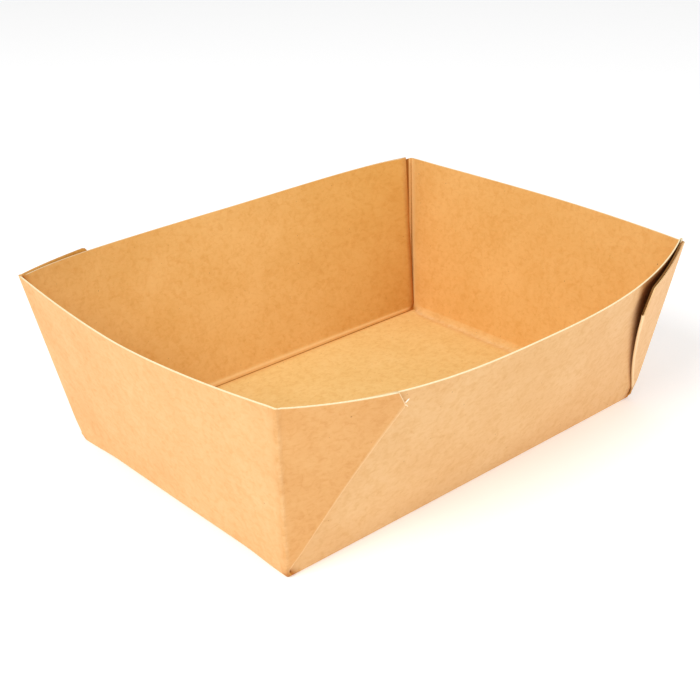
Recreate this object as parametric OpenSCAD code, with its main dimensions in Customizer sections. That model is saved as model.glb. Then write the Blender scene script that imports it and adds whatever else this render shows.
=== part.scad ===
// Rectangular food tray folded from one sheet of kraft board.
// The four walls lean and bow outward. At each corner the sheet is not cut: a web of board is
// folded double and laid along the outside of the long wall.
// X runs along the long walls, Y across them and Z is up.
// The origin is the middle of the underside of the floor.

/* [Floor] */
// Length of the floor between the folds of the short walls, mm
floor_length = 153; // [120:1:200]
// Width of the floor between the folds of the long walls, mm
floor_width = 108; // [90:1:140]

/* [Walls] */
// Height of the rim at the corners above the floor, mm
wall_height = 58.5; // [45:0.5:75]
// How much longer the rim is than the floor, corner to corner, mm
flare_length = 19; // [14:1:24]
// How much wider the rim is than the floor, corner to corner, mm
flare_width = 18.5; // [15:0.5:25]
// Lean of a long wall at its middle, degrees from upright
long_wall_lean = 22.5; // [18:0.5:28]
// Lean of a short wall at its middle, degrees from upright
short_wall_lean = 14; // [12:0.5:20]
// How square the bow of a long wall is (2 is an even curve)
long_wall_bow = 2.8; // [2:0.1:3.4]
// How square the bow of a short wall is (2 is an even curve)
short_wall_bow = 1.7; // [1.6:0.1:3]

/* [Board] */
// Thickness of the board, mm
board_thickness = 0.4; // [0.3:0.02:0.5]
// Air left between two layers of a folded web, mm
layer_gap = 0.2; // [0.2:0.01:0.4]
// Radius of the fold at the foot of a long wall, mm
long_foot_radius = 1.2; // [0.8:0.1:2]
// Radius of the fold at the foot of a short wall, mm
short_foot_radius = 3; // [1.5:0.1:4]

/* [Front left corner] */
// How far the web of the front left corner springs off its wall, degrees
front_left_spring = 0; // [0:0.5:18]
// Share of that web's rim edge that is left where its tip is cut off
front_left_rim_share = 0.84; // [0.7:0.01:0.9]
// Share of that web's folded edge that is left where its tip is cut off
front_left_fold_share = 0.91; // [0.78:0.01:0.92]
// How far the long wall's end stands back from the front left corner at the rim, mm
front_left_set_back = 1.4; // [1.2:0.1:3.5]
// How much higher than by the plain fold the long wall's end stands there, mm
front_left_long_lift = -0.2; // [-1.5:0.1:2.5]
// How much higher than by the plain fold the short wall's end stands there, mm
front_left_short_lift = 1.9; // [-1.5:0.1:2.5]
// How much higher than by the plain fold the web's folded edge stands there, mm
front_left_tip_lift = 0.7; // [-2.5:0.1:1.5]

/* [Front right corner] */
// How far the web of the front right corner springs off its wall, degrees
front_right_spring = 9; // [0:0.5:18]
// Share of that web's rim edge that is left where its tip is cut off
front_right_rim_share = 0.84; // [0.7:0.01:0.9]
// Share of that web's folded edge that is left where its tip is cut off
front_right_fold_share = 0.81; // [0.78:0.01:0.92]
// How far the long wall's end stands back from the front right corner at the rim, mm
front_right_set_back = 1.4; // [1.2:0.1:3.5]
// How much higher than by the plain fold the long wall's end stands there, mm
front_right_long_lift = 0.2; // [-1.5:0.1:2.5]
// How much higher than by the plain fold the short wall's end stands there, mm
front_right_short_lift = -0.9; // [-1.5:0.1:2.5]
// How much higher than by the plain fold the web's folded edge stands there, mm
front_right_tip_lift = -2.0; // [-2.5:0.1:1.5]

/* [Back right corner] */
// How far the web of the back right corner springs off its wall, degrees
back_right_spring = 0; // [0:0.5:18]
// Share of that web's rim edge that is left where its tip is cut off
back_right_rim_share = 0.80; // [0.7:0.01:0.9]
// Share of that web's folded edge that is left where its tip is cut off
back_right_fold_share = 0.87; // [0.78:0.01:0.92]
// How far the long wall's end stands back from the back right corner at the rim, mm
back_right_set_back = 3.2; // [1.2:0.1:3.5]
// How much higher than by the plain fold the long wall's end stands there, mm
back_right_long_lift = 1.3; // [-1.5:0.1:2.5]
// How much higher than by the plain fold the short wall's end stands there, mm
back_right_short_lift = 0.3; // [-1.5:0.1:2.5]
// How much higher than by the plain fold the web's folded edge stands there, mm
back_right_tip_lift = 0.3; // [-2.5:0.1:1.5]

/* [Back left corner] */
// How far the web of the back left corner springs off its wall, degrees
back_left_spring = 7.5; // [0:0.5:18]
// Share of that web's rim edge that is left where its tip is cut off
back_left_rim_share = 0.76; // [0.7:0.01:0.9]
// Share of that web's folded edge that is left where its tip is cut off
back_left_fold_share = 0.87; // [0.78:0.01:0.92]
// How far the long wall's end stands back from the back left corner at the rim, mm
back_left_set_back = 1.4; // [1.2:0.1:3.5]
// How much higher than by the plain fold the long wall's end stands there, mm
back_left_long_lift = -1.0; // [-1.5:0.1:2.5]
// How much higher than by the plain fold the short wall's end stands there, mm
back_left_short_lift = -0.7; // [-1.5:0.1:2.5]
// How much higher than by the plain fold the web's folded edge stands there, mm
back_left_tip_lift = 0.0; // [-2.5:0.1:1.5]

/* [Hidden] */

kraft = [0.90, 0.72, 0.50];

// Slant heights of the walls at the corners, and the walls' lean there
long_slant = norm([wall_height, flare_width / 2]);
short_slant = norm([wall_height, flare_length / 2]);
long_corner_lean = atan(flare_width / 2 / wall_height);
short_corner_lean = atan(flare_length / 2 / wall_height);

// Width of a folded web for each mm of slant height
end_angle = atan(flare_length / 2 / long_slant);
side_angle = atan(flare_width / 2 / short_slant);
web_angle = (90 - end_angle - side_angle) / 2;
web_rise = tan(end_angle) + tan(web_angle - end_angle);

// Sizes of a folded web's section
fold_radius = (board_thickness + layer_gap) / 2;
foot_set_back = 1;
corner_radius_rim = 0.6;
corner_radius_floor = 1.4;
shortest_layer = 0.5;

// Slant heights between which the corner's fold closes up
fold_start = 1.3;
fold_end = 5;

// Radius of the fold at the foot of a corner
corner_foot_radius = 1.2;

// How quickly a corner's lift dies out along the long wall and the short wall
long_lift_spread = 1.3;
short_lift_spread = 1.9;

// Slope of the long wall's rim as it meets the corner, which a sprung web must clear
rim_slope = long_slant * (long_wall_lean - long_corner_lean) * PI / 180 * long_wall_bow * 2 / floor_length;
spring_margin = 1;

// How finely the sheet is divided
long_steps = 10;
short_steps = 4;
fold_steps = 4;
layer_steps = 4;
corner_steps = 4;
foot_rows = 3;
ramp_rows = 5;
wall_rows = 6;

last_row = foot_rows + ramp_rows + 1 + wall_rows;
top_ramp_row = foot_rows + ramp_rows + 1;

function ease(x) = let (c = min(1, max(0, x))) c * c * (3 - 2 * c);
function radians(angle) = angle * PI / 180;

// A flat section is followed as [x, y, heading], with each turn an arc of fixed length
function along(p, length) = [p[0] + length * cos(p[2]), p[1] + length * sin(p[2]), p[2]];
function turned(p, heading, length, share) =
    let (part = (heading - p[2]) * share)
    abs(part) < 0.00001
        ? along(p, length * share)
        : let (radius = length * share / radians(part))
          [
            p[0] + radius * (sin(p[2] + part) - sin(p[2])),
            p[1] - radius * (cos(p[2] + part) - cos(p[2])),
            p[2] + part
          ];
function turn_points(p, heading, length, steps) =
    [for (i = [1:steps]) turned(p, heading, length, i / steps)];

// A web is [spring, rim share, fold share, set-back, and the lifts of long wall, short wall and tip]
front_left_web = [
    front_left_spring,
    front_left_rim_share,
    front_left_fold_share,
    front_left_set_back,
    front_left_long_lift,
    front_left_short_lift,
    front_left_tip_lift
];
front_right_web = [
    front_right_spring,
    front_right_rim_share,
    front_right_fold_share,
    front_right_set_back,
    front_right_long_lift,
    front_right_short_lift,
    front_right_tip_lift
];
back_right_web = [
    back_right_spring,
    back_right_rim_share,
    back_right_fold_share,
    back_right_set_back,
    back_right_long_lift,
    back_right_short_lift,
    back_right_tip_lift
];
back_left_web = [
    back_left_spring,
    back_left_rim_share,
    back_left_fold_share,
    back_left_set_back,
    back_left_long_lift,
    back_left_short_lift,
    back_left_tip_lift
];

// Shares of a layer's width at which it is divided; the last one is where the tip is cut
function layer_shares(web) = [for (i = [1:layer_steps + 1]) web[1] * i / (layer_steps + 1)];
function reverse(list) = [for (i = [len(list) - 1:-1:0]) list[i]];

// Share of the way from the closed fold to the rim, and how far the long wall's end stands back there
function rim_part(slant) = max(0, slant - fold_end) / (long_slant - fold_end);
function set_back(slant, web) = foot_set_back + (web[3] - foot_set_back) * rim_part(slant);

// Section of a corner web at one slant height, from the long wall round to the short wall
function web_section(slant, web) =
    let (
        spring = web[0],
        shares = layer_shares(web),
        closed = ease((slant - fold_start) / (fold_end - fold_start)),
        corner_radius = corner_radius_floor + (corner_radius_rim - corner_radius_floor) * closed,
        first_turn = (180 - spring) * closed,
        last_turn = -spring * closed,
        first_arc = radians(180 - spring) * fold_radius,
        second_arc = PI * fold_radius,
        full_layer = max(shortest_layer, web_rise * slant - 2 * fold_radius - set_back(slant, web)),
        layer = shortest_layer + (full_layer - shortest_layer) * closed,
        open_start = -(first_arc + second_arc + 2 * shortest_layer + corner_radius_floor),
        shut_start = -(set_back(slant, web) + fold_radius),
        start = [open_start + (shut_start - open_start) * closed, 0, 0],
        fold_a = turn_points(start, first_turn, first_arc, fold_steps),
        inner = fold_a[fold_steps - 1],
        layer_a = [for (share = concat(shares, [1])) along(inner, layer * share)],
        fold_b = turn_points(layer_a[layer_steps + 1], last_turn, second_arc, fold_steps),
        outer = fold_b[fold_steps - 1],
        back = -(outer[0] + corner_radius * (1 + sin(last_turn))) / cos(last_turn),
        layer_b = [for (share = reverse(shares)) along(outer, back * (1 - share))],
        edge = along(outer, back),
        corner = turn_points(edge, -90, corner_radius * radians(90 + last_turn), corner_steps)
    )
    concat([start], fold_a, layer_a, fold_b, layer_b, [edge], corner);

// Share of the web's width at each point of the section, 0 at the corner and 1 at the folded edge
function web_shares(web) =
    concat(
        [for (i = [0:fold_steps]) 0],
        layer_shares(web),
        [for (i = [0:fold_steps]) 1],
        reverse(layer_shares(web)),
        [for (i = [0:corner_steps]) 0]
    );
web_points = 2 * (fold_steps + 1) + 2 * (layer_steps + 1) + corner_steps + 1;

// Slant height at which a column of the web ends: the tip is cut off along a straight line
web_reach = web_rise * long_slant;
function column_end(share, web) =
    share <= web[1] + 0.00001
        ? 1
        : let (
            rim_cut = web[1] * web_reach,
            fold_cut = web[2] * long_slant,
            run = web_rise * fold_cut - rim_cut - share * web_rise * (fold_cut - long_slant),
            part = (share * web_reach - rim_cut) / run
          )
          1 + part * (web[2] - 1);

// Lean of a wall at a share of the way from its middle to its corner
function long_lean(share) =
    long_wall_lean - (long_wall_lean - long_corner_lean) * pow(min(1, abs(share)), long_wall_bow);
function short_lean(share) =
    short_wall_lean - (short_wall_lean - short_corner_lean) * pow(min(1, abs(share)), short_wall_bow);

// Outline of a foot fold and the wall above it, at a share of its length, as [out, up]
function foot_arc(radius, lean) = radius * radians(90 - lean);
function foot_reach(radius, lean) = radius * tan((90 - lean) / 2);
function foot_length(radius, lean) = foot_arc(radius, lean) + fold_end - foot_reach(radius, lean);
function foot_point(radius, lean, share) =
    let (
        run = share * foot_length(radius, lean),
        angle = run / radius * 180 / PI,
        slant = run - foot_arc(radius, lean) + foot_reach(radius, lean)
    )
    run <= foot_arc(radius, lean)
        ? [radius * sin(angle) - foot_reach(radius, lean), radius * (1 - cos(angle))]
        : [slant * sin(lean), slant * cos(lean)];

// Slant height of a row at the corner, and its share of the foot outline's length
function row_slant(row) =
    row <= top_ramp_row
        ? fold_start + (fold_end - fold_start) * (row - foot_rows - 1) / ramp_rows
        : fold_end + (long_slant - fold_end) * (row - top_ramp_row) / wall_rows;
corner_foot_arc = foot_arc(corner_foot_radius, long_corner_lean);
corner_foot_reach = foot_reach(corner_foot_radius, long_corner_lean);
corner_foot_length = foot_length(corner_foot_radius, long_corner_lean);
function row_share(row) =
    row <= foot_rows
        ? corner_foot_arc * row / foot_rows / corner_foot_length
        : (corner_foot_arc + row_slant(row) - corner_foot_reach) / corner_foot_length;

mid_height = board_thickness / 2;
function corner_fold(rise) =
    [
        floor_length / 2 + flare_length / 2 * rise,
        floor_width / 2 + flare_width / 2 * rise,
        mid_height + wall_height * rise
    ];

// One point of a corner's foot fold, which rolls up from the rounded corner of the floor
function foot_corner_point(row, point) =
    let (
        angle = (90 - long_corner_lean) * row / foot_rows,
        out = corner_foot_radius * sin(angle) - corner_foot_reach
    )
    [
        floor_length / 2 + point[0] - sin(point[2]) * out,
        floor_width / 2 + point[1] + cos(point[2]) * out,
        mid_height + corner_foot_radius * (1 - cos(angle))
    ];

// How far a point of the web is lifted up the slope: a layer goes from its wall's lift to the tip's
outer_start = 1 + fold_steps + layer_steps + 1 + fold_steps / 2;
function web_lift(slant, web, share, outer) =
    let (own = outer ? web[5] : web[4])
    (own + (web[6] - own) * share) * rim_part(slant);

// One point of a corner web on the wall; a web that springs off follows the wall's bow less
function web_point(rise, web, index, share) =
    let (
        slant = rise * long_slant,
        section = web_section(slant, web),
        point = section[index],
        outer = index > outer_start,
        lift = web_lift(slant, web, share, outer),
        corner = corner_fold(rise),
        follow = max(0, 1 - tan(max(0, web[0] - spring_margin)) / rim_slope),
        wall_end = corner[0] + section[0][0],
        lean = long_lean((corner[0] + point[0]) / wall_end),
        bow_out = slant * (sin(lean) - sin(long_corner_lean)),
        bow_up = slant * (cos(lean) - cos(long_corner_lean)),
        own_lean = long_corner_lean + follow * (lean - long_corner_lean),
        tilted = point[1] > 0
    )
    [
        corner[0] + point[0] + (outer ? lift * (1 - share) * tan(short_corner_lean) : 0),
        corner[1] + point[1] * (tilted ? cos(long_corner_lean) : 1) + follow * bow_out + lift * sin(own_lean),
        corner[2] - point[1] * (tilted ? sin(long_corner_lean) : 0) + follow * bow_up + lift * cos(own_lean)
    ];
function corner_points(row, web) =
    row <= foot_rows
        ? [for (point = web_section(0, web)) foot_corner_point(row, point)]
        : let (
            shares = web_shares(web),
            low_rise = fold_end / long_slant,
            rise = row_slant(row) / long_slant
          )
          [
            for (i = [0:web_points - 1])
                let (top = column_end(shares[i], web))
                web_point(
                    rise <= low_rise
                        ? rise
                        : low_rise + (rise - low_rise) * (top - low_rise) / (1 - low_rise),
                    web,
                    i,
                    shares[i]
                )
          ];

// One point of a long wall or a short wall between its middle and its corner
function long_wall_point(row, share, wall_end, lift) =
    let (
        lean = long_lean(share),
        slant = row_slant(row),
        out_up = row <= top_ramp_row
            ? foot_point(long_foot_radius, lean, row_share(row))
            : [sin(lean), cos(lean)] * (slant + lift * pow(share, long_lift_spread) * rim_part(slant))
    )
    [wall_end * share, floor_width / 2 + out_up[0], mid_height + out_up[1]];
function short_wall_point(row, share, wall_end, lift) =
    let (
        lean = short_lean(share),
        slant = row_slant(row),
        lifted = slant * short_slant / long_slant + lift * pow(share, short_lift_spread) * rim_part(slant),
        radius = corner_foot_radius
            + (short_foot_radius - corner_foot_radius) * ease((1 - share) / 0.4),
        out_up = row <= top_ramp_row
            ? foot_point(radius, lean, row_share(row))
            : [sin(lean), cos(lean)] * lifted
    )
    [floor_length / 2 + out_up[0], wall_end * share, mid_height + out_up[1]];

// A quarter of a row, from the middle of a long wall round the corner to the middle of a short wall
function quarter_row(row, web) =
    let (
        corner = corner_points(row, web),
        long_end = corner[0][0],
        short_end = corner[web_points - 1][1]
    )
    concat(
        [for (i = [0:long_steps - 1]) long_wall_point(row, i / long_steps, long_end, web[4])],
        corner,
        [for (i = [1:short_steps]) short_wall_point(row, 1 - i / short_steps, short_end, web[5])]
    );
function placed(points, side_x, side_y) =
    let (ordered = side_x * side_y > 0 ? reverse(points) : points)
    [
        for (i = [0:len(points) - 2])
            [ordered[i][0] * side_x, ordered[i][1] * side_y, ordered[i][2]]
    ];
function whole_row(row) =
    concat(
        placed(quarter_row(row, front_left_web), -1, -1),
        placed(quarter_row(row, front_right_web), 1, -1),
        placed(quarter_row(row, back_right_web), 1, 1),
        placed(quarter_row(row, back_left_web), -1, 1)
    );

// The middle surface of the sheet, and the direction from it to the inside of the tray
sheet = [for (row = [0:last_row]) whole_row(row)];
around = len(sheet[0]);
function unit(v) = v / norm(v);
function inward(row, i) =
    row == 0
        ? [0, 0, 1]
        : let (
            up = sheet[min(row + 1, last_row)][i] - sheet[row - 1][i],
            side = sheet[row][(i + 1) % around] - sheet[row][(i + around - 1) % around]
          )
          unit(cross(up, side));
inward_of = [for (row = [0:last_row]) [for (i = [0:around - 1]) inward(row, i)]];
function skin(offset) =
    [
        for (row = [0:last_row])
            for (i = [0:around - 1])
                sheet[row][i] + inward_of[row][i] * offset
    ];

module tray() {
    half = board_thickness / 2;
    count = around * (last_row + 1);
    points = concat(skin(half), skin(-half), [[0, 0, board_thickness], [0, 0, 0]]);
    inner_faces = [
        for (row = [0:last_row - 1])
            for (i = [0:around - 1])
                let (k = (i + 1) % around, a = row * around, b = a + around)
                each [[a + i, a + k, b + k], [a + i, b + k, b + i]]
    ];
    outer_faces = [
        for (face = inner_faces)
            [face[2] + count, face[1] + count, face[0] + count]
    ];
    rim = last_row * around;
    rim_faces = [
        for (i = [0:around - 1])
            let (k = (i + 1) % around)
            each [
                [rim + i, rim + k, count + rim + k],
                [rim + i, count + rim + k, count + rim + i]
            ]
    ];
    floor_faces = [
        for (i = [0:around - 1])
            let (k = (i + 1) % around)
            each [[2 * count, k, i], [2 * count + 1, count + i, count + k]]
    ];
    color(kraft)
        polyhedron(points, concat(inner_faces, outer_faces, rim_faces, floor_faces), convexity = 6);
}

tray();
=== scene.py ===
import math

import bpy
import numpy as np
from mathutils import Matrix, Vector


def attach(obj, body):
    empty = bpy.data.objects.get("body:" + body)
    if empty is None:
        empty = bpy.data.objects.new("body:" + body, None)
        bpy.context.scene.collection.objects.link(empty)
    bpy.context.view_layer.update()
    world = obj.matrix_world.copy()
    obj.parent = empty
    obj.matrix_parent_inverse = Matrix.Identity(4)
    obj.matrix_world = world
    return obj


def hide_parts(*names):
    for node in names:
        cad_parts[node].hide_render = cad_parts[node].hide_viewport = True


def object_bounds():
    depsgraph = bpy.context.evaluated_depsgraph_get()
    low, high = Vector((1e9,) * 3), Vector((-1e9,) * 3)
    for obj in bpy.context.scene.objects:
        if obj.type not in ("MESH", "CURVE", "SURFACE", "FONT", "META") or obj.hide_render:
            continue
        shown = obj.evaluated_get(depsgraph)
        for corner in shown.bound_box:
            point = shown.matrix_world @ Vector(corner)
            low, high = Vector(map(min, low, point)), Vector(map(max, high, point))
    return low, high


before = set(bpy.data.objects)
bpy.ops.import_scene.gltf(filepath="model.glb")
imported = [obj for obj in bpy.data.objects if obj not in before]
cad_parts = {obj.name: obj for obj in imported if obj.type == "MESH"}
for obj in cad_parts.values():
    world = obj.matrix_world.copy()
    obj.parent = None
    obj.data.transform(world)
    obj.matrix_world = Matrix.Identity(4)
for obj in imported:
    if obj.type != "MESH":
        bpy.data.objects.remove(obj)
cad_low, cad_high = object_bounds()

# The tray: one sheet of uncoated kraft board of about 340 g for each square metre, die-cut, creased
# and folded with flared, bowed walls. At each corner a web of the same sheet is folded double and
# laid along the outside of the long wall. Its sizes are in mm.
MM = 0.001
floor_length, floor_width = 153.0, 108.0
wall_height = 58.5
flare_length, flare_width = 19.0, 18.5
long_wall_lean, short_wall_lean = math.radians(22.5), math.radians(14.0)
long_wall_bow, short_wall_bow = 2.8, 1.7
board_thickness, layer_gap = 0.4, 0.2
long_foot_radius, short_foot_radius, corner_foot_radius = 0.7, 3.0, 0.7
# The right wall's foot fold is broader inside and keeps its breadth up to the corners
right_foot_radius = 3.4
foot_set_back = 0.3
corner_radius_rim, corner_radius_floor = 0.6, 0.75
shortest_layer = 0.1
fold_start, fold_end = 0.62, 2.8
foot_fold_share = 0.35
# Each corner's web: its spring off the wall, the shares left of its rim edge and folded edge, the
# long wall's set-back at the rim, the lifts of the long wall, the short wall and the web's tip, and
# how far its folded edge drifts from the true diagonal at the foot, half-way up and at the top.
# The last three say how far the corner stands out from its true place at the floor, just above it
# and at the rim: outward along the long wall and as far back across it.
webs = {
    (-1, -1): (math.radians(0.0), 0.84, 0.908, 1.4, -0.2, 1.9, 0.7, -0.6, 0.0, -1.0, 0.0, 0.65, 0.0),
    (1, -1): (math.radians(9.0), 0.84, 0.81, 1.4, 0.5, -0.9, -2.0, -1.5, -2.4, 0.0, 0.0, 0.0, 0.0),
    (1, 1): (math.radians(0.0), 0.80, 0.87, 3.75, 1.3, 0.3, 0.3, 0.0, 0.0, 0.0, 0.0, 0.1, 0.5),
    (-1, 1): (math.radians(7.5), 0.76, 0.87, 1.4, -1.0, -0.7, 0.0, 0.0, 0.0, 0.0, 0.0, 0.0, 0.0),
}
long_lift_bow, short_lift_bow, web_lift_bow = 1.3, 1.9, 0.3
spring_margin = math.radians(1.0)
shift_reach = 9.0
# The back wall's foot stands this far in from its true place, and the wall leans out more for it
back_foot_in = 2.1

long_slant = math.hypot(wall_height, flare_width / 2)
short_slant = math.hypot(wall_height, flare_length / 2)
long_corner_lean = math.atan2(flare_width / 2, wall_height)
short_corner_lean = math.atan2(flare_length / 2, wall_height)
end_angle = math.atan2(flare_length / 2, long_slant)
side_angle = math.atan2(flare_width / 2, short_slant)
web_angle = (math.pi / 2 - end_angle - side_angle) / 2
web_rise = math.tan(end_angle) + math.tan(web_angle - end_angle)
web_reach = web_rise * long_slant
fold_radius = (board_thickness + layer_gap) / 2
rim_slope = long_slant * (long_wall_lean - long_corner_lean) * long_wall_bow * 2 / floor_length
mid_height = board_thickness / 2

long_steps, short_steps = 44, 30
fold_steps, layer_steps, tip_steps, corner_steps = 8, 12, 3, 6
foot_rows, ramp_rows, wall_rows = 8, 18, 36
rim_band = 0.3
floor_rings = [0.0, 0.2, 0.4, 0.55, 0.7, 0.8, 0.87, 0.92, 0.95, 0.975, 0.99]


def ease(x):
    x = min(max(x, 0.0), 1.0)
    return x * x * (3 - 2 * x)


def along(p, length):
    return (p[0] + length * math.cos(p[2]), p[1] + length * math.sin(p[2]), p[2])


def turn(p, heading, length, steps):
    """Points (x, y, heading) on an arc of fixed length that turns from p's heading."""
    points = []
    for i in range(1, steps + 1):
        share = i / steps
        part = (heading - p[2]) * share
        if abs(part) < 1e-9:
            points.append(along(p, length * share))
            continue
        radius = length * share / part
        points.append((
            p[0] + radius * (math.sin(p[2] + part) - math.sin(p[2])),
            p[1] - radius * (math.cos(p[2] + part) - math.cos(p[2])),
            p[2] + part,
        ))
    return points


def layer_shares(web):
    """Shares of a layer's width where it is divided, up to just before its folded edge."""
    corner = [0.006, 0.014, 0.022, 0.032, 0.045, 0.06, 0.08, 0.1]
    body = [0.1 + (web[1] - 0.1) * (i + 1) / layer_steps for i in range(layer_steps)]
    tip = [web[1] + (1 - web[1]) * (i + 1) / (tip_steps + 1) for i in range(tip_steps)]
    return corner + body + tip


def rim_part(slant):
    """Share of the way from where the corner's fold is shut up to the rim."""
    return max(0.0, slant - fold_end) / (long_slant - fold_end)


def web_section(slant, web):
    """A corner's section at one slant height, from the long wall round to the short wall."""
    shares = layer_shares(web)
    closed = ease((slant - fold_start) / (fold_end - fold_start))
    corner_radius = corner_radius_floor + (corner_radius_rim - corner_radius_floor) * closed
    height = slant / long_slant
    spring = web[0] * min(1.0, 0.5 + 0.65 * height)
    first_turn = (math.pi - spring) * closed
    last_turn = -spring * closed
    radius = fold_radius * (foot_fold_share + (1 - foot_fold_share) * ease((slant - fold_start) / 8))
    first_arc = (math.pi - spring) * radius
    second_arc = math.pi * radius
    set_back = foot_set_back + (web[3] - foot_set_back) * rim_part(slant)
    drift = web[7] * math.exp(-((height / 0.2) ** 2))
    drift += web[8] * 4 * height * (1 - height) + web[9] * height ** 3
    full_layer = max(shortest_layer, web_rise * slant + drift - 2 * radius - set_back)
    layer = shortest_layer + (full_layer - shortest_layer) * closed
    open_start = -(first_arc + second_arc + 2 * shortest_layer + corner_radius_floor)
    shut_start = -(set_back + radius)
    points = [(open_start + (shut_start - open_start) * closed, 0.0, 0.0)]
    points += turn(points[-1], first_turn, first_arc, fold_steps)
    inner = points[-1]
    points += [along(inner, layer * share) for share in shares + [1]]
    points += turn(points[-1], last_turn, second_arc, fold_steps)
    outer = points[-1]
    back = -(outer[0] + corner_radius * (1 + math.sin(last_turn))) / math.cos(last_turn)
    points += [along(outer, back * (1 - share)) for share in shares[::-1]]
    points.append(along(outer, back))
    points += turn(points[-1], -math.pi / 2, corner_radius * (math.pi / 2 + last_turn), corner_steps)
    return points


def web_shares(web):
    shares = layer_shares(web)
    ends = [1.0] * (1 + fold_steps)
    return [0.0] * (1 + fold_steps) + shares + ends + shares[::-1] + [0.0] * (1 + corner_steps)


def column_end(share, web):
    """Share of the slant height at which a column of the web is cut off."""
    if share <= web[1] + 1e-9:
        return 1.0
    rim_cut = web[1] * web_reach
    fold_cut = web[2] * long_slant
    run = web_rise * fold_cut - rim_cut - share * web_rise * (fold_cut - long_slant)
    return 1 + (share * web_reach - rim_cut) / run * (web[2] - 1)


def long_lean(share):
    bend = min(abs(share), 1.0) ** long_wall_bow
    return long_wall_lean - (long_wall_lean - long_corner_lean) * bend


def short_lean(share):
    bend = min(abs(share), 1.0) ** short_wall_bow
    return short_wall_lean - (short_wall_lean - short_corner_lean) * bend


def foot_arc(radius, lean):
    return radius * (math.pi / 2 - lean)


def foot_reach(radius, lean):
    return radius * math.tan((math.pi / 2 - lean) / 2)


def foot_length(radius, lean):
    return foot_arc(radius, lean) + fold_end - foot_reach(radius, lean)


def foot_point(radius, lean, share):
    """A point (out, up) of a foot fold and the wall above it."""
    run = share * foot_length(radius, lean)
    arc = foot_arc(radius, lean)
    reach = foot_reach(radius, lean)
    if run <= arc:
        angle = run / radius
        return radius * math.sin(angle) - reach, radius * (1 - math.cos(angle))
    slant = run - arc + reach
    return slant * math.sin(lean), slant * math.cos(lean)


top_ramp_row = foot_rows + ramp_rows + 1
last_row = top_ramp_row + wall_rows
corner_arc = foot_arc(corner_foot_radius, long_corner_lean)
corner_reach = foot_reach(corner_foot_radius, long_corner_lean)
corner_length = foot_length(corner_foot_radius, long_corner_lean)


def row_slant(row):
    if row <= top_ramp_row:
        return fold_start + (fold_end - fold_start) * (row - foot_rows - 1) / ramp_rows
    if row == last_row:
        return long_slant
    return fold_end + (long_slant - rim_band - fold_end) * (row - top_ramp_row) / (wall_rows - 1)


def row_share(row):
    if row <= foot_rows:
        return corner_arc * row / foot_rows / corner_length
    return (corner_arc + row_slant(row) - corner_reach) / corner_length


def foot_corner(row, web):
    """A corner's points in the foot fold, which rolls up from the rounded corner of the floor."""
    angle = (math.pi / 2 - long_corner_lean) * row / foot_rows
    out = corner_foot_radius * math.sin(angle) - corner_reach
    up = mid_height + corner_foot_radius * (1 - math.cos(angle))
    return [
        (
            floor_length / 2 + x - math.sin(heading) * out,
            floor_width / 2 + y + math.cos(heading) * out,
            up,
        )
        for x, y, heading in web_section(0.0, web)
    ]


layer_count = len(layer_shares(webs[(-1, -1)]))
outer_start = 1 + fold_steps + layer_count + fold_steps // 2


def web_corner(row, web):
    """A corner's points on the wall; a web that springs off follows the wall's bow less."""
    low = fold_end / long_slant
    rise = row_slant(row) / long_slant
    follow = max(0.0, 1 - math.tan(max(0.0, web[0] - spring_margin)) / rim_slope)
    sections = {}
    points = []
    for index, share in enumerate(web_shares(web)):
        end = column_end(share, web)
        r = rise if rise <= low else low + (rise - low) * (end - low) / (1 - low)
        if r not in sections:
            sections[r] = web_section(r * long_slant, web)
        section = sections[r]
        x, y, heading = section[index]
        corner_x = floor_length / 2 + flare_length / 2 * r
        corner_y = floor_width / 2 + flare_width / 2 * r
        corner_z = mid_height + wall_height * r
        lean = long_lean((corner_x + x) / (corner_x + section[0][0]))
        slant = r * long_slant
        outer = index > outer_start
        own_lift = web[5] if outer else web[4]
        spread = share ** web_lift_bow if web[5] > web[6] > 0 else share
        lift = (own_lift + (web[6] - own_lift) * spread) * rim_part(slant)
        own_lean = long_corner_lean + follow * (lean - long_corner_lean)
        bow_out = slant * (math.sin(lean) - math.sin(long_corner_lean))
        bow_up = slant * (math.cos(lean) - math.cos(long_corner_lean))
        tilt_out = math.cos(long_corner_lean) if y > 0 else 1.0
        tilt_up = math.sin(long_corner_lean) if y > 0 else 0.0
        points.append((
            corner_x + x + (lift * (1 - share) * math.tan(short_corner_lean) if outer else 0.0),
            corner_y + y * tilt_out + follow * bow_out + lift * math.sin(own_lean),
            corner_z - y * tilt_up + follow * bow_up + lift * math.cos(own_lean),
        ))
    return points


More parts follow.
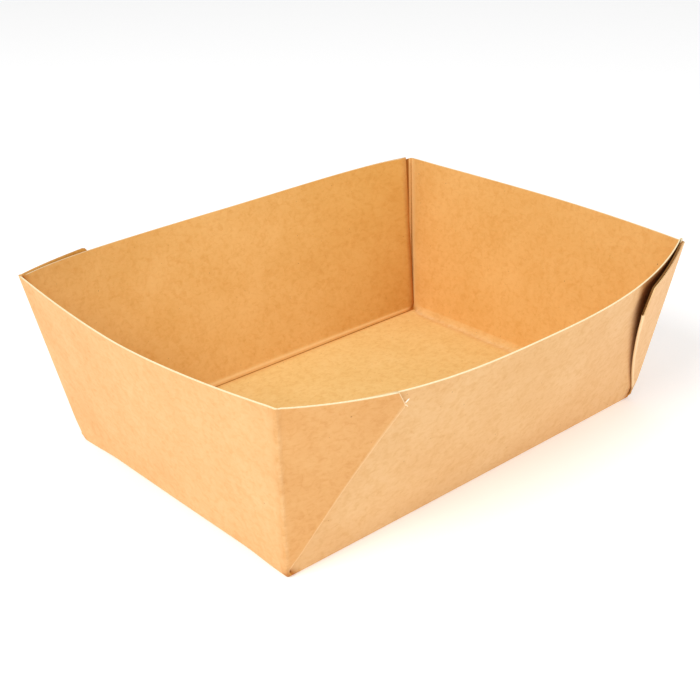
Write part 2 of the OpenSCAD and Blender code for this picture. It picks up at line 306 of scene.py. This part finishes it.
def quarter_row(row, web):
    """A quarter of a row, from the middle of a long wall to the middle of a short wall."""
    corner = foot_corner(row, web) if row <= foot_rows else web_corner(row, web)
    long_end, short_end = corner[0][0], corner[-1][1]
    long_side, short_side = [], []
    for i in range(long_steps):
        share = i / long_steps
        lean = long_lean(share)
        if row <= top_ramp_row:
            out, up = foot_point(long_foot_radius, lean, row_share(row))
        else:
            slant = row_slant(row)
            slant += web[4] * share ** long_lift_bow * rim_part(slant)
            out, up = math.sin(lean) * slant, math.cos(lean) * slant
        long_side.append((long_end * share, floor_width / 2 + out, mid_height + up))
    for i in range(1, short_steps + 1):
        share = 1 - i / short_steps
        lean = short_lean(share)
        on_right = web in (webs[(1, -1)], webs[(1, 1)])
        middle_radius, spread = (right_foot_radius, 0.1) if on_right else (short_foot_radius, 0.4)
        radius = corner_foot_radius
        radius += (middle_radius - corner_foot_radius) * ease((1 - share) / spread)
        if row <= top_ramp_row:
            out, up = foot_point(radius, lean, row_share(row))
        else:
            slant = row_slant(row) * short_slant / long_slant
            slant += web[5] * share ** short_lift_bow * rim_part(row_slant(row))
            out, up = math.sin(lean) * slant, math.cos(lean) * slant
        short_side.append((floor_length / 2 + out, short_end * share, mid_height + up))
    quarter = long_side + corner + short_side
    share = 0.0 if row <= foot_rows else row_slant(row) / long_slant
    if web in (webs[(1, 1)], webs[(-1, 1)]):
        quarter = [(x, y - back_foot_in * (1 - share) * min(1.0, y / 45), z) for x, y, z in quarter]
    shift = web[11] + (web[12] - web[11]) * share
    shift = web[10] + (shift - web[10]) * ease(row_slant(row) / 3)
    corner_x = floor_length / 2 + flare_length / 2 * share
    corner_y = floor_width / 2 + flare_width / 2 * share
    moved = []
    for x, y, z in quarter:
        near = math.exp(-((x - corner_x) ** 2 + (y - corner_y) ** 2) / shift_reach ** 2)
        moved.append((x + shift * near, y - shift * near, z))
    return moved


def column_kinds(web):
    """For each point of a quarter row: 0 on the long wall, 1 on the web, 2 on the short wall."""
    return [0] * long_steps + [1] * len(web_shares(web)) + [2] * short_steps


def column_layers(web):
    """For each point of a quarter row: 1 on a web's inner layer, 2 on its outer layer, 0 elsewhere."""
    inner = [0] * (1 + fold_steps // 2) + [1] * (outer_start - fold_steps // 2)
    outer = [2] * (len(web_shares(web)) - len(inner))
    return [0] * long_steps + inner + outer + [0] * short_steps


def whole_row(maker):
    """A row once round the tray, put together from its four quarters."""
    row = []
    for (side_x, side_y) in ((-1, -1), (1, -1), (1, 1), (-1, 1)):
        quarter = maker(webs[(side_x, side_y)], side_x, side_y)
        if side_x * side_y > 0:
            quarter = quarter[::-1]
        row += quarter[:-1]
    return row


def mirrored(row):
    return lambda web, sx, sy: [(x * sx, y * sy, z) for x, y, z in quarter_row(row, web)]


wall_sheet = np.array([whole_row(mirrored(row)) for row in range(last_row + 1)])
kinds = np.array(whole_row(lambda web, sx, sy: column_kinds(web)))
layers = np.array(whole_row(lambda web, sx, sy: column_layers(web)))
shares = np.array(whole_row(
    lambda web, sx, sy: [0.0] * long_steps + web_shares(web) + [0.0] * short_steps
))
around = wall_sheet.shape[1]

# Columns in the middle of each fold of a corner
half_fold = fold_steps // 2
web_count = len(web_shares(webs[(-1, -1)]))
first_fold = long_steps + half_fold
second_fold = long_steps + 1 + fold_steps + layer_count + half_fold
third_fold = long_steps + web_count - 1 - corner_steps // 2


def fold_columns(place):
    """The columns of the whole row that run along one fold of each corner."""
    flags = [0.0] * (long_steps + web_count + short_steps)
    flags[place] = 1.0
    return np.nonzero(np.array(whole_row(lambda web, sx, sy: flags)))[0]


def distance_from(columns):
    """Distance of each point along its row from the nearest of the given columns."""
    nearest = np.full((rows, around), 1e9)
    for column in columns:
        gap = np.abs(col_run - col_run[:, column: column + 1])
        nearest = np.minimum(nearest, np.minimum(gap, total - gap))
    nearest[: floor_count + 1] = 1e9
    return nearest


# The floor is rings that shrink from the first row to the middle
ring = wall_sheet[0]
floor_sheet = np.array([ring * [share, share, 1] for share in floor_rings[1:]])
sheet = np.concatenate([floor_sheet, wall_sheet])
rows = len(sheet)
floor_count = len(floor_sheet)

up = np.empty_like(sheet)
up[1:-1] = sheet[2:] - sheet[:-2]
up[-1] = sheet[-1] - sheet[-2]
up[0] = sheet[1] - sheet[0]
side = np.roll(sheet, -1, 1) - np.roll(sheet, 1, 1)
inward = np.cross(up, side)
inward /= np.linalg.norm(inward, axis=-1, keepdims=True)
inward[: floor_count + 1] = (0, 0, 1)
# Lengths along the rows and the columns, for the fibres and for the nearness of a fold
row_run = np.zeros((rows, around))
row_run[1:] = np.cumsum(np.linalg.norm(np.diff(sheet, axis=0), axis=-1), axis=0)
row_run -= row_run[floor_count]
col_step = np.linalg.norm(np.roll(sheet, -1, 1) - sheet, axis=-1)
col_run = np.concatenate([np.zeros((rows, 1)), np.cumsum(col_step, axis=1)[:, :-1]], axis=1)
total = col_step.sum(1, keepdims=True)
from_end_fold = distance_from(fold_columns(first_fold))
from_web_fold = distance_from(fold_columns(second_fold))
from_corner = distance_from(fold_columns(third_fold))
foot_middle = corner_arc / 2
near_foot = np.abs(row_run - foot_middle)

# The creasing rule leaves a bead along the inside of the long walls' feet, and a fine groove by it
on_long = np.where(kinds == 0, 1.0, 0.0)
from_foot = row_run - foot_middle
bead = 0.14 * np.exp(-(((from_foot - 1.3) / 0.7) ** 2)) - 0.08 * np.exp(-(((from_foot + 0.1) / 0.25) ** 2))
bead *= on_long

inner_skin = sheet + inward * (board_thickness / 2 + bead[..., None])
outer_skin = sheet - inward * board_thickness / 2

# Fibre coordinates: along the wall and up it, each wall on its own
board = np.zeros((rows, around, 3))
wall_x = np.where(kinds == 2, sheet[..., 1] + 400, sheet[..., 0])
board[..., 0] = wall_x
board[..., 1] = row_run
board[..., 2] = np.where(kinds == 2, 300, 0) + np.where(sheet[..., 1] > 0, 150, 0)
board[: floor_count] = sheet[: floor_count]

size = rows * around
verts = np.concatenate([
    inner_skin.reshape(-1, 3),
    outer_skin.reshape(-1, 3),
    [[0, 0, board_thickness], [0, 0, 0]],
]) * MM
verts = np.clip(verts, np.array(cad_low), np.array(cad_high))
index = np.arange(size).reshape(rows, around)
after = np.roll(index, -1, 1)
inner_quads = np.stack([index[:-1], index[1:], after[1:], after[:-1]], -1).reshape(-1, 4)
outer_quads = inner_quads[:, ::-1] + size
rim_quads = np.stack([index[-1], index[-1] + size, after[-1] + size, after[-1]], -1)
inner_fan = np.stack([np.full(around, 2 * size), index[0], after[0]], -1)
outer_fan = np.stack([np.full(around, 2 * size + 1), after[0] + size, index[0] + size], -1)
faces = [tuple(int(i) for i in face) for part in (inner_quads, outer_quads, rim_quads) for face in part]
faces += [tuple(int(i) for i in face) for part in (inner_fan, outer_fan) for face in part]
tray_mesh = bpy.data.meshes.new("kraft_tray")
tray_mesh.from_pydata([tuple(v) for v in verts], [], faces)
tray_mesh.update()


def set_attribute(name, values, outside=None):
    """Stores a value for each point of the sheet on the vertices of both skins."""
    outside = values if outside is None else outside
    both = [np.broadcast_to(part, (rows, around)).reshape(-1) for part in (values, outside)]
    flat = np.concatenate(both + [[both[0][0], both[1][0]]]).astype(np.float32)
    tray_mesh.attributes.new(name, "FLOAT", "POINT").data.foreach_set("value", flat)


def close_to(distance, width):
    return np.exp(-((distance / width) ** 2))


on_wall = (row_run > 0.0) * 1.0
above_foot = np.clip((row_run - 5) / 3, 0, 1)
left, front = sheet[..., 0] < 0, sheet[..., 1] < 0
# Painted shade on the web layers tucked between a wall and its web, where they lie in shadow
tucked_in_shade = np.where(layers == 2, np.clip((from_corner - 1.15) / 0.3, 0, 1), 0.0)
above_fold = np.clip((row_run - 2.8) / 0.8, 0, 1)
tucked_in_shade = np.where((layers == 1) & (shares < 1), 1.0, tucked_in_shade) * above_fold
tucked_in_shade *= np.where(left & ~front, 0.0, 1.0)
tucked_out_shade = np.where((layers == 1) & (shares < 1), 1.0, 0.0) * above_fold
tucked_out_shade *= np.where(left & ~front, 0.0, 1.0)
# Painted light on the narrow strip of each web's outer layer beside the corner's fold, inside
lit_strip = (layers == 2) * close_to(from_corner - 0.75, 0.45) * above_foot
shaded_edge = np.where((kinds == 1) & ~front, 1.0, 0.0)
shaded_edge = np.where((layers == 1) & front & left, 0.5, shaded_edge)
shaded_edge = np.where((layers == 2) & front & ~left, 0.6, shaded_edge)
# Painted shade on the cut edge of the near right web's inner layer, which lies in shadow
hidden_edge_shade = np.where((layers == 1) & front & ~left, np.clip((shares - 0.02) / 0.06, 0, 1), 0.0)
# Painted shadow of the near right web on the front wall beneath it, narrower towards the foot
corner_reach_x = floor_length / 2 + flare_length / 2 * np.clip(row_run / long_slant, 0, 1)
height = np.clip(row_run / long_slant, 0, 1)
cover = web_rise * row_run - (corner_reach_x - np.abs(sheet[..., 0])) - 0.8 - 4.8 * (1 - height)
web_shadow = (kinds == 0) * front * ~left * np.clip(cover / 4, 0, 1) * on_wall
# Painted shade on the near left web and painted light on the near right web
front_web_shade = (kinds == 1) & front & left
pale_web_light = (kinds == 1) & front & ~left
# Painted shade on the front wall outside, less towards its right end, painted light up that right end, and
# painted shade on the right part of the back wall inside
right_part = np.clip((sheet[..., 0] - 5) / 60, 0, 1)
front_wall_lighting = (kinds == 0) & front
back_wall = (kinds == 0) & ~front
zeros = np.zeros((rows, around))
# The last row below the rim is painted the cut edge's cream: partly the pale cut fibres, partly a painted
# highlight
rim_cream_and_highlight = zeros.copy()
rim_cream_and_highlight[-1] = 1.0
# Painted light and shade for the board: a highlight along each web's folded edge; shade by each long
# wall's end, along the inner corners, on the far left web and in the groove at the long walls' feet; light
# on the tray's floor, the short walls' feet and the bead above the groove
set_attribute("inside", zeros + 1, zeros)
set_attribute("tucked_shade", tucked_in_shade, tucked_out_shade)
set_attribute("web_fold_highlight", zeros, close_to(from_web_fold, 0.4))
set_attribute("end_fold_shade", close_to(from_end_fold - 0.3 * (1 - height), 0.5 + 1.1 * (1 - height)))
set_attribute("corner_edge", zeros, close_to(from_corner, 0.9))
set_attribute("corner_line_shade", close_to(from_corner, 0.22) * above_foot, zeros)
set_attribute("corner_strip_light", lit_strip, zeros)
set_attribute("web_shadow", zeros, web_shadow)
set_attribute("shaded_edge", shaded_edge)
set_attribute("hidden_edge_shade", hidden_edge_shade)
set_attribute("front_web_shade", zeros, front_web_shade * on_wall)
set_attribute("pale_web_light", zeros, pale_web_light * on_wall)
set_attribute("front_wall_lighting", zeros, front_wall_lighting * (1 - 0.5 * right_part) * on_wall)
set_attribute("front_right_light", zeros, front_wall_lighting * right_part * height)
set_attribute("back_right_shade", back_wall * right_part * on_wall, zeros)
# Painted shade on the far left web's inner layer, in the narrow gap behind the back wall
set_attribute("far_web_shade", (layers == 1) & ~front & left)
set_attribute("rim_cream_and_highlight", rim_cream_and_highlight)
set_attribute("floor_light", np.clip(-row_run / 2, 0, 1))
set_attribute("foot_light_band", close_to(near_foot, 1.6) * (kinds == 2), zeros)
# Painted light on the right wall's broad foot fold inside
foot_face_light = np.clip((row_run + 0.2) / 0.5, 0, 1) * np.clip((4.6 - row_run) / 0.6, 0, 1)
set_attribute("foot_face_light", foot_face_light * (kinds == 2) * ~left, zeros)
set_attribute("foot_groove_shade", close_to(from_foot + 0.1, 0.2) * on_long, zeros)
set_attribute("foot_bead_light", close_to(from_foot - 1.2, 0.65) * on_long, zeros)
grain = np.concatenate([board.reshape(-1, 3), board.reshape(-1, 3), np.zeros((2, 3))]) * MM
tray_mesh.attributes.new("board", "FLOAT_VECTOR", "POINT").data.foreach_set(
    "vector", grain.astype(np.float32).reshape(-1)
)

smooth = np.ones(len(tray_mesh.polygons), bool)
first_rim = len(inner_quads) + len(outer_quads)
edge_faces = np.zeros(len(tray_mesh.polygons), np.int32)
edge_faces[first_rim: first_rim + around] = 1
tray_mesh.polygons.foreach_set("use_smooth", smooth)
tray_mesh.polygons.foreach_set("material_index", edge_faces)
sharp = np.zeros(len(tray_mesh.edges), bool)
rim_low, rim_high = (rows - 1) * around, rows * around
ends = np.empty(len(tray_mesh.edges) * 2, np.int32)
tray_mesh.edges.foreach_get("vertices", ends)
ends = ends.reshape(-1, 2)
on_inner = ((ends >= rim_low) & (ends < rim_high)).all(1)
on_outer = ((ends >= rim_low + size) & (ends < rim_high + size)).all(1)
sharp[on_inner | on_outer] = True
tray_mesh.attributes.new("sharp_edge", "BOOLEAN", "EDGE").data.foreach_set("value", sharp)

tray = bpy.data.objects.new("kraft_tray", tray_mesh)
bpy.context.scene.collection.objects.link(tray)


def new_material(name):
    """A new node material and its shader node."""
    material = bpy.data.materials.new(name)
    material.use_nodes = True
    return material, material.node_tree.nodes["Principled BSDF"]


def add_node(material, kind, **values):
    """A new node with its properties set; a value named after a socket is set on that socket."""
    made = material.node_tree.nodes.new(kind)
    for name, value in values.items():
        if hasattr(made, name):
            setattr(made, name, value)
        else:
            made.inputs[name.replace("_", " ")].default_value = value
    return made


def link(material, source, target):
    """Joins an output socket to an input socket."""
    material.node_tree.links.new(source, target)


def ramp(material, source, stops):
    """A colour ramp with its stops as (place, colour), fed by source."""
    made = add_node(material, "ShaderNodeValToRGB")
    bar = made.color_ramp.elements
    bar[0].position, bar[0].color = stops[0][0], (*stops[0][1], 1)
    bar[1].position, bar[1].color = stops[-1][0], (*stops[-1][1], 1)
    for place, colour in stops[1:-1]:
        extra = bar.new(place)
        extra.color = (*colour, 1)
    link(material, source, made.inputs[0])
    return made.outputs[0]


def grey(value):
    return (value, value, value)


def mixed(material, blend, amount, first, second):
    """A colour mix node; amount and second may be a socket or a plain value."""
    made = add_node(material, "ShaderNodeMix", data_type="RGBA", blend_type=blend)
    link(material, first, made.inputs[6])
    for socket, value in ((made.inputs[0], amount), (made.inputs[7], second)):
        if isinstance(value, bpy.types.NodeSocket):
            link(material, value, socket)
        else:
            socket.default_value = value
    return made.outputs[2]


def noise(material, coordinates, scale, detail=2.0, roughness=0.5, distortion=0.0):
    """A noise texture's value over the given coordinates."""
    made = add_node(material, "ShaderNodeTexNoise", Scale=scale, Detail=detail)
    made.inputs["Roughness"].default_value = roughness
    made.inputs["Distortion"].default_value = distortion
    link(material, coordinates, made.inputs["Vector"])
    return made.outputs[0]


def stretched(material, coordinates, scale):
    """The coordinates scaled by three different amounts."""
    made = add_node(material, "ShaderNodeMapping")
    made.inputs["Scale"].default_value = scale
    link(material, coordinates, made.inputs["Vector"])
    return made.outputs[0]


def mesh_value(material, name):
    """The value stored on the mesh under a name."""
    return add_node(material, "ShaderNodeAttribute", attribute_name=name).outputs["Fac"]


def stroke(material, coordinates, start, end, half_width):
    """1 along a short stroke on the front wall and 0 away from it; places and sizes in mm."""
    run_x, run_z = end[0] - start[0], end[2] - start[2]
    half_length = math.hypot(run_x, run_z) / 2 + half_width
    place = add_node(material, "ShaderNodeMapping", vector_type="TEXTURE")
    place.inputs["Location"].default_value = [(a + b) / 2 * MM for a, b in zip(start, end)]
    place.inputs["Rotation"].default_value = (0, -math.atan2(run_z, run_x), 0)
    place.inputs["Scale"].default_value = (half_length * MM, 2 * MM, half_width * MM)
    link(material, coordinates, place.inputs["Vector"])
    ball = add_node(material, "ShaderNodeTexGradient", gradient_type="SPHERICAL")
    link(material, place.outputs[0], ball.inputs[0])
    return ramp(material, ball.outputs["Color"], [(0.0, grey(0.0)), (0.4, grey(1.0))])


# Board surface: warm brown fibres, mottled, with a few dark specks
kraft, shader = new_material("kraft_board")
place = add_node(kraft, "ShaderNodeTexCoord").outputs["Object"]
grain_place = add_node(kraft, "ShaderNodeAttribute", attribute_name="board").outputs["Vector"]
inside = mesh_value(kraft, "inside")
blotches = noise(kraft, place, 60.0, 3.0, 0.6)
outer_colour = ramp(kraft, blotches, [
    (0.30, (0.780, 0.438, 0.188)),
    (0.50, (0.800, 0.460, 0.203)),
    (0.70, (0.820, 0.484, 0.222)),
])
inner_colour = ramp(kraft, blotches, [
    (0.30, (0.775, 0.422, 0.125)),
    (0.50, (0.800, 0.447, 0.141)),
    (0.70, (0.825, 0.472, 0.158)),
])
# Painted light: the tray's floor inside is made lighter, as it is lit from above
lit_floor_colour = ramp(kraft, blotches, [
    (0.30, (0.875, 0.560, 0.200)),
    (0.50, (0.895, 0.585, 0.218)),
    (0.70, (0.915, 0.610, 0.238)),
])
inner_colour = mixed(kraft, "MIX", mesh_value(kraft, "floor_light"), inner_colour, lit_floor_colour)
colour = mixed(kraft, "MIX", inside, outer_colour, inner_colour)
# Painted light and shade: each of these parts is made darker where it lies in shade, or lighter where more
# light falls on it
for part, tone in (
    ("front_web_shade", (0.88, 0.81, 0.67, 1)),
    ("pale_web_light", (1.0, 1.08, 1.24, 1)),
    ("front_wall_lighting", (0.91, 0.96, 0.98, 1)),
    ("front_right_light", (1.0, 1.05, 1.18, 1)),
    ("back_right_shade", (0.88, 0.83, 0.68, 1)),
    ("far_web_shade", (0.90, 0.74, 0.33, 1)),
    ("foot_face_light", (1.02, 1.08, 1.22, 1)),
):
    colour = mixed(kraft, "MULTIPLY", mesh_value(kraft, part), colour, tone)
fibres = noise(kraft, stretched(kraft, grain_place, (480.0, 900.0, 480.0)), 1.0, 4.0, 0.7, 0.8)
fibre_tone = ramp(kraft, fibres, [
    (0.28, (0.90, 0.82, 0.70)),
    (0.48, (1.0, 1.0, 1.0)),
    (0.72, (1.03, 1.06, 1.12)),
])
colour = mixed(kraft, "MULTIPLY", 0.6, colour, fibre_tone)
mottle = noise(kraft, place, 420.0, 2.0, 0.55, 0.8)
mottle_tone = ramp(kraft, mottle, [
    (0.32, (0.93, 0.87, 0.78)),
    (0.50, (1.0, 1.0, 1.0)),
    (0.68, (1.02, 1.04, 1.09)),
])
colour = mixed(kraft, "MULTIPLY", 0.65, colour, mottle_tone)
specks = noise(kraft, place, 1150.0, 1.0, 0.4)
speck_amount = ramp(kraft, specks, [(0.785, grey(0.0)), (0.83, grey(0.7))])
colour = mixed(kraft, "MIX", speck_amount, colour, (0.30, 0.13, 0.04, 1))
# Painted shade on the web layers tucked between a wall and its web
colour = mixed(kraft, "MULTIPLY", mesh_value(kraft, "tucked_shade"), colour, (0.50, 0.32, 0.15, 1))
# Painted shadow of the near right web on the front wall
colour = mixed(kraft, "MULTIPLY", mesh_value(kraft, "web_shadow"), colour, (0.55, 0.38, 0.22, 1))
# Patchy noise: it makes the corners' outer folds lighter along their edges in patches, and makes the
# painted light at the short walls' feet uneven
patchy = noise(kraft, place, 380.0, 3.0, 0.7)
patchy_amount = ramp(kraft, patchy, [(0.38, grey(0.1)), (0.68, grey(0.7))])
edge_amount = mixed(kraft, "MULTIPLY", 1.0, patchy_amount, mesh_value(kraft, "corner_edge"))
edge_amount = mixed(kraft, "MULTIPLY", 1.0, edge_amount, (0.45, 0.45, 0.45, 1))
colour = mixed(kraft, "MIX", edge_amount, colour, (0.93, 0.68, 0.38, 1))
# Painted light in a patchy band along the short walls' feet inside
foot_light_amount = mixed(kraft, "MULTIPLY", 1.0, patchy_amount, mesh_value(kraft, "foot_light_band"))
colour = mixed(kraft, "MIX", foot_light_amount, colour, (0.92, 0.64, 0.32, 1))
# Painted highlight along each web's folded edge
colour = mixed(kraft, "MIX", mesh_value(kraft, "web_fold_highlight"), colour, (0.99, 0.80, 0.50, 1))
# Painted light on the narrow strip of each web's outer layer beside the corner's fold
strip_light_amount = mixed(kraft, "MULTIPLY", 1.0, mesh_value(kraft, "corner_strip_light"), (0.8, 0.8, 0.8, 1))
colour = mixed(kraft, "MIX", strip_light_amount, colour, (0.98, 0.66, 0.30, 1))
# Painted light on the bead along the long walls' feet inside
bead_light_amount = mixed(kraft, "MULTIPLY", 1.0, mesh_value(kraft, "foot_bead_light"), (0.8, 0.8, 0.8, 1))
colour = mixed(kraft, "MIX", bead_light_amount, colour, (0.98, 0.66, 0.30, 1))
# Painted shade in the gap beside each long wall's end, wider towards the foot
colour = mixed(kraft, "MULTIPLY", mesh_value(kraft, "end_fold_shade"), colour, (0.55, 0.31, 0.09, 1))
# Painted shade in a thin line along each inner corner
colour = mixed(kraft, "MULTIPLY", mesh_value(kraft, "corner_line_shade"), colour, (0.62, 0.42, 0.22, 1))
# Painted shade in the groove along the long walls' feet inside
colour = mixed(kraft, "MULTIPLY", mesh_value(kraft, "foot_groove_shade"), colour, (0.42, 0.25, 0.11, 1))
# The row below the rim is painted cream, partly pale cut fibres and partly a painted highlight, left out
# on edges in shade
rim_cream_and_highlight_amount = mixed(kraft, "MULTIPLY", 1.0, mesh_value(kraft, "rim_cream_and_highlight"), (0.75, 0.75, 0.75, 1))
rim_cream_and_highlight_amount = mixed(kraft, "MULTIPLY", mesh_value(kraft, "shaded_edge"), rim_cream_and_highlight_amount, (0, 0, 0, 1))
rim_cream_and_highlight_amount = mixed(kraft, "MULTIPLY", mesh_value(kraft, "hidden_edge_shade"), rim_cream_and_highlight_amount, (0, 0, 0, 1))
colour = mixed(kraft, "MIX", rim_cream_and_highlight_amount, colour, (0.98, 0.86, 0.58, 1))
# Near the top of the near web the front wall has a nick: short strokes of pale torn fibres, partly a
# painted highlight, and two dark dots of painted shade in tiny holes
for start, end, half_width, tone in (
    ((-49.36, -72.27, 51.46), (-48.72, -72.73, 52.39), 0.36, (1.0, 0.94, 0.82, 1)),
    ((-49.65, -71.61, 49.78), (-49.07, -72.06, 50.74), 0.17, (0.98, 0.72, 0.45, 1)),
    ((-49.07, -72.06, 50.74), (-48.14, -71.77, 49.55), 0.17, (0.98, 0.72, 0.45, 1)),
    ((-49.03, -71.77, 49.91), (-48.93, -71.77, 49.91), 0.26, (0.52, 0.24, 0.08, 1)),
    ((-49.75, -72.51, 52.25), (-49.65, -72.51, 52.25), 0.24, (0.52, 0.24, 0.08, 1)),
):
    nick_mark = stroke(kraft, place, start, end, half_width)
    nick_mark = mixed(kraft, "MULTIPLY", inside, nick_mark, (0, 0, 0, 1))
    colour = mixed(kraft, "MIX", nick_mark, colour, tone)
link(kraft, colour, shader.inputs["Base Color"])
shader.inputs["Roughness"].default_value = 0.85
shader.inputs["Specular IOR Level"].default_value = 0.2
bump_fine = add_node(kraft, "ShaderNodeBump", Strength=0.25, Distance=0.00004)
link(kraft, mottle, bump_fine.inputs["Height"])
bump_fibre = add_node(kraft, "ShaderNodeBump", Strength=0.25, Distance=0.00004)
link(kraft, fibres, bump_fibre.inputs["Height"])
link(kraft, bump_fine.outputs[0], bump_fibre.inputs["Normal"])
bump_soft = add_node(kraft, "ShaderNodeBump", Strength=0.25, Distance=0.0008)
link(kraft, noise(kraft, place, 34.0, 2.0, 0.5), bump_soft.inputs["Height"])
link(kraft, bump_fibre.outputs[0], bump_soft.inputs["Normal"])
link(kraft, bump_soft.outputs[0], shader.inputs["Normal"])

# Die-cut edge: the board's pale middle fibres, with painted shade on the webs' cut edges that lie in
# shadow
cut, cut_shader = new_material("kraft_cut_edge")
cut_place = add_node(cut, "ShaderNodeTexCoord").outputs["Object"]
cut_noise = noise(cut, cut_place, 1500.0, 3.0, 0.6)
cut_colour = ramp(cut, cut_noise, [(0.3, (0.90, 0.72, 0.42)), (0.7, (0.98, 0.86, 0.58))])
edge_shade = mesh_value(cut, "shaded_edge")
cut_colour = mixed(cut, "MIX", edge_shade, cut_colour, (0.70, 0.37, 0.10, 1))
# Painted shade on the cut edge of the near right web's inner layer
cut_colour = mixed(cut, "MULTIPLY", mesh_value(cut, "hidden_edge_shade"), cut_colour, (0.22, 0.12, 0.05, 1))
link(cut, cut_colour, cut_shader.inputs["Base Color"])
cut_shader.inputs["Roughness"].default_value = 0.9
cut_shader.inputs["Specular IOR Level"].default_value = 0.1
cut_bump = add_node(cut, "ShaderNodeBump", Strength=0.4, Distance=0.00008)
link(cut, cut_noise, cut_bump.inputs["Height"])
link(cut, cut_bump.outputs[0], cut_shader.inputs["Normal"])

tray_mesh.materials.append(kraft)
tray_mesh.materials.append(cut)
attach(tray, "root")
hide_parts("tray")

# The floor: a plain white studio floor under the tray, which is not part of the object. It gives
# off a little light of its own, so that it looks white and the shadow on it stays pale.
floor_mesh = bpy.data.meshes.new("studio_floor")
reach = 3.0
floor_mesh.from_pydata(
    [(-reach, -reach, 0), (reach, -reach, 0), (reach, reach, 0), (-reach, reach, 0)],
    [],
    [(0, 1, 2, 3)],
)
studio_floor = bpy.data.objects.new("studio_floor", floor_mesh)
studio_floor.location.z = -0.00002
bpy.context.scene.collection.objects.link(studio_floor)
white, white_shader = new_material("studio_white")
white_shader.inputs["Base Color"].default_value = (0.93, 0.93, 0.93, 1)
white_shader.inputs["Roughness"].default_value = 0.9
white_shader.inputs["Emission Color"].default_value = (1.0, 1.0, 1.0, 1)
white_shader.inputs["Emission Strength"].default_value = 0.25
floor_mesh.materials.append(white)

# Light: a bright white room, a broad soft light high on the left, and a weaker one in front that
# fills the front wall.
world = bpy.data.worlds.new("studio")
bpy.context.scene.world = world
world.use_nodes = True
sky = world.node_tree.nodes["Background"]
sky.inputs["Color"].default_value = (1.0, 1.0, 1.0, 1)
sky.inputs["Strength"].default_value = 0.60
bpy.context.scene.view_settings.view_transform = "Standard"


def add_light(name, place, power, size):
    """A round soft light of the given power in watts that points at the tray."""
    lamp = bpy.data.lights.new(name, "AREA")
    lamp.shape = "DISK"
    lamp.size = size
    lamp.energy = power
    made = bpy.data.objects.new(name, lamp)
    made.location = place
    aim = Vector((0, 0, 0.02)) - made.location
    made.rotation_euler = aim.to_track_quat("-Z", "Y").to_euler()
    bpy.context.scene.collection.objects.link(made)


add_light("key_light", (-0.85, -0.15, 0.85), 8.0, 0.6)
add_light("front_light", (0.3, -1.1, 0.5), 3.8, 0.8)

# The camera: it stands in front of the near left corner and looks down on the tray, at the photo's
# viewing angle.
azimuth, elevation, roll = math.radians(-41.479), math.radians(25.583), math.radians(-1.170)
target = Vector((433.39, 495.19, -289.81)) * MM
distance = 1138.44 * MM
pixels_focal = 1233.5
back = Vector((
    math.sin(azimuth) * math.cos(elevation),
    -math.cos(azimuth) * math.cos(elevation),
    math.sin(elevation),
))
right = (-back).cross(Vector((0, 0, 1))).normalized()
above = right.cross(-back)
turned_right = right * math.cos(roll) + above * math.sin(roll)
turned_above = above * math.cos(roll) - right * math.sin(roll)
camera_data = bpy.data.cameras.new("photo_camera")
camera_data.sensor_width = 36.0
camera_data.lens = pixels_focal / 700 * 36.0
camera = bpy.data.objects.new("photo_camera", camera_data)
turning = Matrix((turned_right, turned_above, back)).transposed()
camera.matrix_world = Matrix.Translation(target + back * distance) @ turning.to_4x4()
bpy.context.scene.collection.objects.link(camera)
bpy.context.scene.camera = camera
